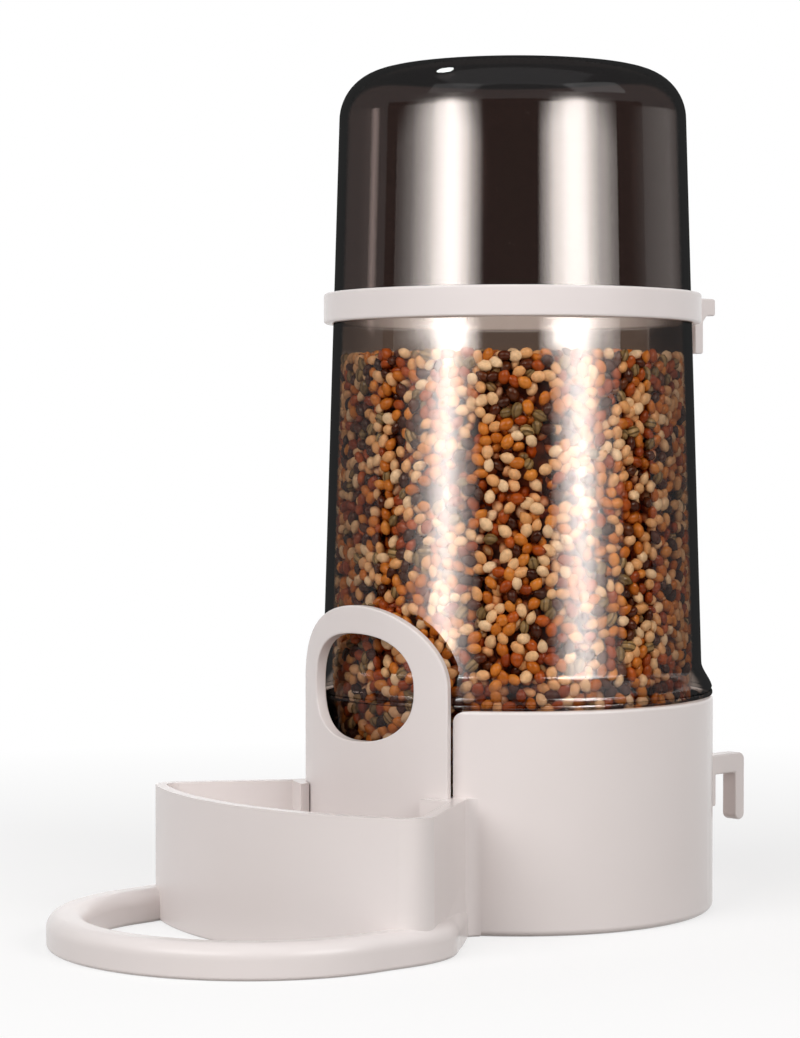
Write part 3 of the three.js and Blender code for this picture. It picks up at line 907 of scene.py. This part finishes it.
def smoked_san():
    """Blown SAN plastic: clear round the seed, deep smoke in the empty head, polished, dusty; dark edges and
    darker flanks partly painted shade, and a band of painted shade at the back above the seed.
    """
    material, tree, output = new_material("smoked_san_plastic")
    place = add(tree, "TexCoord").outputs["Object"]
    height = add(tree, "SeparateXYZ", links={"Vector": place}).outputs["Z"]
    front = add(tree, "VectorMath", {1: towards}, {0: place}, operation="DOT_PRODUCT").outputs["Value"]
    facing = add(tree, "LayerWeight", {"Blend": 0.5}).outputs["Facing"]
    rays = add(tree, "LightPath").outputs
    masks = {"shadow": rays["Is Shadow Ray"], "diffuse": rays["Is Diffuse Ray"],
             "outer": add(tree, "Attribute", attribute_name="outer").outputs["Fac"]}
    for name, value, start, end, fade in (
            ("smoke", height, SMOKE_START, SMOKE_FULL, "SMOOTHSTEP"),
            ("foot", height, BOTTLE_FOOT_LEVEL, BOTTLE_SEAT + FLANGE_EDGE, "SMOOTHSTEP"),
            ("above_seed", height, SEED_LINE_LOW, SEED_LINE_HIGH, "LINEAR"),
            ("below_collar", height, COLLAR_SEAT + SHADE_BAND_FADE, COLLAR_SEAT - SHADE_BAND_FADE, "LINEAR"),
            ("back", front, SHADE_BAND_EDGE, -SHADE_BAND_EDGE, "LINEAR"),
            ("slant", facing, 0.18, 0.6, "SMOOTHSTEP"),
            ("rim", facing, 0.64, 0.72, "SMOOTHSTEP")):
        masks[name] = add(tree, "MapRange", {"From Min": start, "From Max": end}, {"Value": value},
                          interpolation_type=fade).outputs["Result"]
    # The band at the back, above the seed and below the collar, is painted shade
    for name, operation, first, second in (
            ("gap", "MULTIPLY", "back", "below_collar"),
            ("shade_band", "MULTIPLY", "gap", "above_seed"),
            ("slant", "MULTIPLY", "slant", "outer"),
            ("rim", "MULTIPLY", "rim", "outer"),
            ("lighting", "MAXIMUM", "shadow", "diffuse")):
        joined = add(tree, "Math", links={0: masks[first], 1: masks[second]}, operation=operation)
        masks[name] = joined.outputs["Value"]
    tint = add(tree, "Mix", {"A": linear("#fbf6f1"), "B": linear("#f7f6f5")},
               {"Factor": masks["above_seed"]}, data_type="RGBA").outputs[2]
    # Tints in turn: the slant's grey and the rim's near black are partly the longer real path through the
    # wall at a slant, partly painted shade on the flanks and a painted dark edge
    for name, colour in (("foot", "#e6deda"), ("slant", "#a39a94"), ("smoke", "#a89f9c"),
                         ("shade_band", "#9a8d85"), ("rim", "#241f1d"), ("lighting", "#f8f6f4")):
        tint = add(tree, "Mix", {"B": linear(colour)}, {"Factor": masks[name], "A": tint},
                   data_type="RGBA").outputs[2]
    clear = add(tree, "BsdfTransparent", links={"Color": tint})
    blow = add(tree, "TexNoise", {"Scale": per_mm(30), "Detail": 1}, {"Vector": place})
    wave = add(tree, "Bump", {"Strength": 0.06, "Distance": 0.2 * MM}, {"Height": blow.outputs["Fac"]})
    mirror = add(tree, "BsdfGlossy", {"Roughness": 0.035}, {"Normal": wave.outputs["Normal"]})
    steep = add(tree, "Math", {1: 4.0}, {0: facing}, operation="POWER").outputs["Value"]
    share = add(tree, "MapRange", {"To Min": MIRROR_FRONT, "To Max": MIRROR_EDGE}, {"Value": steep})
    inside = add(tree, "NewGeometry").outputs["Backfacing"]
    share = add(tree, "Mix", {"B": MIRROR_INSIDE}, {"Factor": inside, "A": share.outputs["Result"]})
    wall = add(tree, "MixShader", links={"Fac": share.outputs["Result"], 1: clear.outputs["BSDF"],
                                         2: mirror.outputs["BSDF"]})
    mote = add(tree, "TexNoise", {"Scale": per_mm(1.3), "Detail": 2}, {"Vector": place})
    dust = add(tree, "ValToRGB", links={"Fac": mote.outputs["Fac"]}, stops=[(0.74, 0.0), (0.8, 0.12)])
    powder = add(tree, "BsdfDiffuse", {"Color": linear("#cfc6bf")})
    dusty = add(tree, "MixShader", links={"Fac": dust.outputs["Color"], 1: wall.outputs["Shader"],
                                          2: powder.outputs["BSDF"]})
    tree.links.new(dusty.outputs["Shader"], output.inputs["Surface"])
    return material


# Where on a grain its stripes and its tip lie, and how deep in millimetres a grain is painted a shaded brown
STRIPE_WAVES = 15.0
TIP_START = 0.36
TIP_END = 0.6
TIP_STRENGTH = 0.75
SHADE_DEPTH_START = 0.8
SHADE_DEPTH_END = 2.6
SHADE_DEPTH_STRENGTH = 0.86


def husk(name, colours, tip, deep, stripe):
    """Glossy seed husk: the tone differs from grain to grain, each has a darker tip, and depths among the
    grains are painted a shaded brown.
    """
    material, tree, output = new_material(name)
    place = add(tree, "TexCoord").outputs["Object"]
    tone = add(tree, "Attribute", attribute_name="tone").outputs["Fac"]
    along = add(tree, "Attribute", attribute_name="along").outputs["Fac"]
    depth = add(tree, "Attribute", attribute_name="depth").outputs["Fac"]
    stops = [(i / (len(colours) - 1), value) for i, value in enumerate(colours)]
    body = add(tree, "ValToRGB", links={"Fac": tone}, stops=stops).outputs["Color"]
    if stripe:
        side = add(tree, "Attribute", attribute_name="side").outputs["Fac"]
        lines = add(tree, "Math", {1: STRIPE_WAVES}, {0: side}, operation="MULTIPLY").outputs["Value"]
        wave = add(tree, "Math", links={0: lines}, operation="SINE").outputs["Value"]
        dark = add(tree, "MapRange", {"From Min": 0.2, "From Max": 0.7}, {"Value": wave}).outputs["Result"]
        body = add(tree, "Mix", {"B": linear(stripe)}, {"Factor": dark, "A": body},
                   data_type="RGBA").outputs[2]
    mottle = add(tree, "TexNoise", {"Scale": per_mm(0.9), "Detail": 2}, {"Vector": place})
    shade = add(tree, "MapRange", {"From Min": 0.3, "From Max": 0.75, "To Min": 0.8, "To Max": 1.12},
                {"Value": mottle.outputs["Fac"]}).outputs["Result"]
    varied = add(tree, "VectorMath", links={0: body, 3: shade}, operation="SCALE").outputs["Vector"]
    end = add(tree, "MapRange", {"From Min": TIP_START, "From Max": TIP_END, "To Max": TIP_STRENGTH},
              {"Value": along})
    tipped = add(tree, "Mix", {"B": linear(tip)}, {"Factor": end.outputs["Result"], "A": varied},
                 data_type="RGBA").outputs[2]
    # Painted shade: corners that lie deep among other grains are mixed towards a dark brown
    shade_range = {"From Min": SHADE_DEPTH_START, "From Max": SHADE_DEPTH_END, "To Max": SHADE_DEPTH_STRENGTH}
    buried = add(tree, "MapRange", shade_range, {"Value": depth}, interpolation_type="SMOOTHSTEP").outputs["Result"]
    shaded_body = add(tree, "Mix", {"B": linear(deep)}, {"Factor": buried, "A": tipped},
                  data_type="RGBA").outputs[2]
    shader = add(tree, "BsdfPrincipled", {"Roughness": 0.22, "IOR": 1.48, "Specular IOR Level": 0.35},
                 {"Base Color": shaded_body})
    tree.links.new(shader.outputs["BSDF"], output.inputs["Surface"])
    return material


def packed_seed():
    """Painted shade for the depth between grains: dark brown with a broken tone."""
    material, tree, output = new_material("packed_seed_painted_shade")
    place = add(tree, "TexCoord").outputs["Object"]
    lumps = add(tree, "TexVoronoi", {"Scale": per_mm(2.2)}, {"Vector": place})
    tone = add(tree, "ValToRGB", links={"Fac": lumps.outputs["Distance"]},
               stops=[(0.1, "#7a320c"), (0.7, "#3e1706")])
    shader = add(tree, "BsdfPrincipled", {"Roughness": 0.8}, {"Base Color": tone.outputs["Color"]})
    tree.links.new(shader.outputs["BSDF"], output.inputs["Surface"])
    return material


def dress(obj, material, body, node):
    """Gives a piece its material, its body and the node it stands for."""
    if material:
        obj.data.materials.clear()
        obj.data.materials.append(material)
    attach(obj, body)
    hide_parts(node)


base_white = white_abs("white_abs_base", "#e8e0de", "#e2d9d6")
gate_white = white_abs("white_abs_gate", "#e6dedc", "#e0d7d4")
collar_white = white_abs("white_abs_collar", "#eae2e0", "#e4dbd9")
bottle = make_bottle()
base = make_base()
gate = make_gate()
collar = make_collar()
dress(base, base_white, "base", "base")
dress(gate, gate_white, "gate", "gate")
dress(collar, collar_white, "collar", "collar")
dress(bottle, smoked_san(), "bottle", "bottle")

# Kinds of seed: name, share, colours of the husk, colour of the tip, colour of painted shade in the depths
# and stripe
BROWN_SHADE = "#a8440a"
BLACK_SHADE = "#421404"
SEED_KINDS = [
    ("pale_millet", 0.22, "#eebc8a #e8b078 #e0a468 #f1ca9c", "#9c6230", BROWN_SHADE, None),
    ("cream_millet", 0.15, "#f3d2a8 #f7dab4 #ecc496 #f1ca9c", "#a87440", BROWN_SHADE, None),
    ("golden_millet", 0.22, "#cf7823 #dc8f3e #bb6516 #d07e2e", "#7e400e", BROWN_SHADE, None),
    ("red_millet", 0.16, "#aa4a10 #86340a #b95a1c #983e0c", "#581e06", BROWN_SHADE, None),
    ("black_seed", 0.16, "#401809 #54230d #301006 #5c2c10", "#1e0a04", BLACK_SHADE, None),
    ("striped_seed", 0.09, "#957b52 #ad9060 #7b643e #9a8054", "#55421f", BROWN_SHADE, "#665030"),
]
husks = [husk(f"{kind}_husk", colours.split(), tip, deep, stripe)
         for kind, _, colours, tip, deep, stripe in SEED_KINDS]
COLUMN_GRAINS = 9600
BED_GRAINS = 1350
CORE_INSET = 0.75 * GRAIN_DEPTH
CORE_LEVELS = 12
CORE_STEPS = 48

shape = grain_shape()
core_shade = packed_seed()
for place, body, node, low, high, wall, count in (
        ("column", "bottle", "seed_column", bottle_low.z + REST_GAP, SEED_TOP, column_wall, COLUMN_GRAINS),
        ("bed", "base", "seed_bed", bed_low.z, bed_high.z, bed_wall, BED_GRAINS)):
    points = pour(count, low, high, wall)
    axes = turn_grains(points, low, high, wall)
    pick = rng.random(len(points))
    start = 0
    for (kind, share, *_), material in zip(SEED_KINDS, husks):
        chosen = (pick >= start) & (pick < start + share)
        start += share
        piece = grains(f"{place}_{kind}", shape, points[chosen], axes[chosen], wall, low, high, material)
        dress(piece, None, body, node)
    # A dark core behind the grains, painted as the shade deep in the pile
    levels = np.linspace(low + GRAIN_THICKNESS, high - CORE_INSET, CORE_LEVELS)
    core = turned(f"{place}_depth", [(float(wall(z)) - CORE_INSET, float(z)) for z in levels], CORE_STEPS)
    dress(core, core_shade, body, node)

# Camera at the photograph's angle

CAMERA_DISTANCE = 546.1 * MM
CAMERA_HEIGHT = 87.94 * MM
CAMERA_SIDE = 21.24 * MM
CAMERA_PITCH = math.radians(1.55)
FOCAL_PIXELS = 2880
IMAGE_HEIGHT = 1038
SENSOR = 36

deselect()
spot = CAMERA_DISTANCE * towards - CAMERA_SIDE * rightwards
bpy.ops.object.camera_add(location=(spot.x, spot.y, CAMERA_HEIGHT),
                          rotation=(math.pi / 2 - CAMERA_PITCH, 0, AZIMUTH))
camera = bpy.context.object
camera.data.sensor_width = SENSOR
camera.data.lens = SENSOR * FOCAL_PIXELS / IMAGE_HEIGHT
bpy.context.scene.camera = camera

# Light, floor and background

def softbox(name, left, distance, height, width, tall, power, aim=0.06, glossy=True, only=None):
    """An area lamp at an angle to the viewer's left, turned to the feeder, in metres and watts."""
    angle = math.radians(left)
    place = distance * (math.cos(angle) * towards - math.sin(angle) * rightwards) + Vector((0, 0, height))
    look = (Vector((0, 0, aim)) - place).to_track_quat("-Z", "Y").to_euler()
    bpy.ops.object.light_add(type="AREA", location=place, rotation=look)
    lamp = bpy.context.object
    lamp.name = name
    lamp.data.shape = "RECTANGLE"
    lamp.data.size = width
    lamp.data.size_y = tall
    lamp.data.energy = power
    lamp.visible_camera = False
    lamp.visible_glossy = glossy
    if only:
        lamp.visible_diffuse = False
        lamp.light_linking.receiver_collection = only
    return lamp


STRIP_HEIGHT = 0.38
STRIP_AWAY = 0.45


def strip(name, layers, left, width, power, colour):
    """An upright strip lamp that only the bottle reflects. A layer fades across and then upwards."""
    lamp = softbox(name, left, STRIP_AWAY, STRIP_HEIGHT / 2, width, STRIP_HEIGHT, power,
                   aim=STRIP_HEIGHT / 2, only=bottle_only)
    lamp.data.use_nodes = True
    tree = lamp.data.node_tree
    tree.nodes.clear()
    spread = add(tree, "SeparateXYZ", links={"Vector": add(tree, "NewGeometry").outputs["Parametric"]})
    glow = add(tree, "Emission", {"Color": linear(colour), "Strength": 0.0})
    for across, upwards in layers:
        wide = add(tree, "ValToRGB", links={"Fac": spread.outputs["X"]}, stops=across).outputs["Color"]
        high = add(tree, "ValToRGB", links={"Fac": spread.outputs["Y"]}, stops=upwards).outputs["Color"]
        layer = add(tree, "Math", links={0: wide, 1: high}, operation="MULTIPLY").outputs["Value"]
        for earlier in glow.inputs["Strength"].links:
            layer = add(tree, "Math", links={0: earlier.from_socket, 1: layer}).outputs["Value"]
        tree.links.new(layer, glow.inputs["Strength"])
    tree.links.new(glow.outputs["Emission"], add(tree, "OutputLight").inputs["Surface"])


bottle_only = bpy.data.collections.new("bottle_only")
bottle_only.objects.link(bottle)
all_but_bottle = bpy.data.collections.new("all_but_bottle")
all_but_bottle.objects.link(bottle)
for link in all_but_bottle.collection_objects:
    link.light_linking.link_state = "EXCLUDE"
white_pieces = bpy.data.collections.new("white_pieces")
for piece in (base, gate, collar):
    white_pieces.objects.link(piece)
for lamp, lit in (
        (softbox("key", left=40, distance=0.8, height=0.5, width=0.68, tall=0.6, power=5.8), all_but_bottle),
        (softbox("fill", left=-44, distance=0.8, height=0.5, width=0.5, tall=0.5, power=4.6), all_but_bottle),
        (softbox("top", left=0, distance=0.05, height=1.1, width=1.2, tall=1.2, power=0.3, glossy=False),
         all_but_bottle),
        (softbox("behind", left=180, distance=0.8, height=0.2, width=0.6, tall=0.3, power=5.0, glossy=False),
         white_pieces)):
    lamp.light_linking.receiver_collection = lit

# Bright bands of the strips as place and brightness: a core down the wall, and a halo in the empty head
CORE_RISE = [(0.0, 0.6), (0.1, 0.72), (0.174, 0.82), (0.25, 0.98), (0.6, 1.0), (0.64, 0.9), (0.7, 0.48),
             (0.77, 0.2), (0.84, 0.09), (1.0, 0.07)]
HALO_RISE = [(0.37, 0.0), (0.385, 1.0), (0.57, 1.0), (0.61, 0.0)]
LEFT_CORE = [(0.088, 0.0), (0.211, 0.035), (0.309, 0.12), (0.4, 0.28), (0.491, 0.8), (0.54, 1.0),
             (0.572, 0.98), (0.654, 0.43), (0.74, 0.13), (0.838, 0.0)]
LEFT_HALO = [(0.036, 0.036), (0.197, 0.096), (0.322, 0.24), (0.438, 0.36), (0.5, 0.22), (0.56, 0.265),
             (0.637, 0.54), (0.696, 0.46), (0.743, 0.265), (0.838, 0.036), (0.86, 0.0)]
RIGHT_CORE = [(0.257, 0.0), (0.343, 0.016), (0.428, 0.295), (0.51, 0.77), (0.56, 0.95), (0.595, 0.98),
              (0.64, 0.85), (0.686, 0.52), (0.784, 0.157), (0.896, 0.076), (1.0, 0.02)]
RIGHT_HALO = [(0.25, 0.0), (0.289, 0.157), (0.394, 0.59), (0.45, 0.48), (0.495, 0.445), (0.55, 0.24),
              (0.6, 0.157), (0.712, 0.217), (0.84, 0.205), (0.92, 0.12), (1.0, 0.072)]
LEFT_RIM = [(0.0, 0.0), (0.56, 0.03), (0.72, 0.1), (0.775, 0.65), (0.813, 0.85), (0.853, 0.55), (0.914, 0.0)]
RIGHT_RIM = [(0.06, 0.0), (0.144, 0.08), (0.308, 0.34), (0.479, 0.57), (0.67, 0.76), (0.8, 0.36), (0.96, 0.0)]
PALE_GLOW = "#fff6f0"
ROSY_GLOW = "#ffe2d8"
strip("left_strip", [(LEFT_CORE, CORE_RISE), (LEFT_HALO, HALO_RISE)],
      left=46, width=0.63, power=43.0, colour=PALE_GLOW)
strip("right_strip", [(RIGHT_CORE, CORE_RISE), (RIGHT_HALO, HALO_RISE)],
      left=-32.6, width=0.63, power=43.0, colour=PALE_GLOW)
strip("left_rim", [(LEFT_RIM, HALO_RISE)], left=118, width=0.44, power=6.0, colour=ROSY_GLOW)
strip("right_rim", [(RIGHT_RIM, HALO_RISE)], left=-106, width=0.56, power=3.5, colour=PALE_GLOW)

# Lamps that the round shoulder mirrors: a small spark and three weak hoods
SHOULDER = 0.15
spark = softbox("spark", left=113.8, distance=0.312, height=0.836, width=0.19, tall=0.085, power=3.0,
                aim=0.154, only=bottle_only)
spark.data.shape = "ELLIPSE"
softbox("left_hood", left=45, distance=0.6, height=0.6, width=0.4, tall=0.25, power=0.5,
        aim=SHOULDER, only=bottle_only)
softbox("right_hood", left=-62, distance=0.6, height=0.6, width=0.5, tall=0.25, power=0.9,
        aim=SHOULDER, only=bottle_only)
softbox("crown", left=0, distance=0.3, height=0.9, width=1.1, tall=0.7, power=1.6,
        aim=SHOULDER, only=bottle_only)

# A dark card round the front of the set, seen only in reflections, keeps the front of the bottle deep
CARD_RADIUS = 0.62
CARD_HEIGHT = 0.3
deselect()
bpy.ops.mesh.primitive_circle_add(vertices=64, radius=CARD_RADIUS)
card = bpy.context.object
card.name = "dark_card"
edit_all()
bpy.ops.mesh.extrude_edges_move(TRANSFORM_OT_translate={"value": (0, 0, CARD_HEIGHT)})
bpy.ops.mesh.select_all(action="SELECT")
bpy.ops.mesh.bisect(plane_co=(0, 0, 0), plane_no=towards, clear_inner=True)
bpy.ops.object.mode_set(mode="OBJECT")
card.visible_camera = False
card.visible_diffuse = False
card.visible_transmission = False
card.visible_shadow = False
felt, tree, output = new_material("black_felt_card")
nap = add(tree, "BsdfDiffuse", {"Color": linear("#1c1a19")})
tree.links.new(nap.outputs["BSDF"], output.inputs["Surface"])
card.data.materials.append(felt)

# White background, and a low ambient light that is stronger from behind

def looking_rays(tree):
    """1 for rays that look at the set, straight, mirrored or through glass, and 0 for rays that light it."""
    rays = add(tree, "LightPath").outputs
    shown = rays["Is Camera Ray"]
    for kind in ("Is Glossy Ray", "Is Transmission Ray"):
        shown = add(tree, "Math", links={0: shown, 1: rays[kind]}, operation="MAXIMUM").outputs["Value"]
    return shown


AMBIENT_BACK = 0.6
AMBIENT_FRONT = 0.13
world = bpy.data.worlds.new("studio")
bpy.context.scene.world = world
world.use_nodes = True
tree = world.node_tree
tree.nodes.clear()
way = add(tree, "TexCoord").outputs["Generated"]
ahead = add(tree, "VectorMath", {1: towards}, {0: way}, operation="DOT_PRODUCT").outputs["Value"]
ambient = {"From Min": -1.0, "From Max": -0.1, "To Min": AMBIENT_BACK, "To Max": AMBIENT_FRONT}
soft = add(tree, "MapRange", ambient, {"Value": ahead})
level = add(tree, "Mix", {"B": 1.0}, {"Factor": looking_rays(tree), "A": soft.outputs["Result"]})
sky = add(tree, "Background", {"Color": linear("#ffffff")}, {"Strength": level.outputs["Result"]})
tree.links.new(sky.outputs["Background"], add(tree, "OutputWorld").inputs["Surface"])

# Paper floor: white far off, and near the feeder so far dull that its shadow shows
FLOOR_SIZE = 8
FLOOR_DROP = 0.05 * MM
NEAR_FLOOR = 0.06
FAR_FLOOR = 0.3
NEAR_GLOW = 0.66
deselect()
bpy.ops.mesh.primitive_plane_add(size=FLOOR_SIZE, location=(0, 0, -FLOOR_DROP))
floor = bpy.context.object
floor.name = "floor"
paper, tree, output = new_material("white_paper_sweep")
place = add(tree, "TexCoord").outputs["Object"]
away = add(tree, "VectorMath", links={0: place}, operation="LENGTH").outputs["Value"]
glow = {"From Min": NEAR_FLOOR, "From Max": FAR_FLOOR, "To Min": NEAR_GLOW, "To Max": 1.0}
far = add(tree, "MapRange", glow, {"Value": away})
shown = add(tree, "Math", links={0: far.outputs["Result"], 1: looking_rays(tree)}, operation="MULTIPLY")
bounce = add(tree, "Mix", {"A": linear("#fbf9f8"), "B": linear("#a8a3a0")},
             {"Factor": add(tree, "LightPath").outputs["Is Diffuse Ray"]}, data_type="RGBA")
matte = add(tree, "BsdfDiffuse", links={"Color": bounce.outputs[2]})
white = add(tree, "Emission", {"Color": linear("#ffffff"), "Strength": 1.0})
mix = add(tree, "MixShader", links={"Fac": shown.outputs["Value"], 1: matte.outputs["BSDF"],
                                    2: white.outputs["Emission"]})
tree.links.new(mix.outputs["Shader"], output.inputs["Surface"])
floor.data.materials.append(paper)

bpy.context.scene.view_settings.view_transform = "Standard"
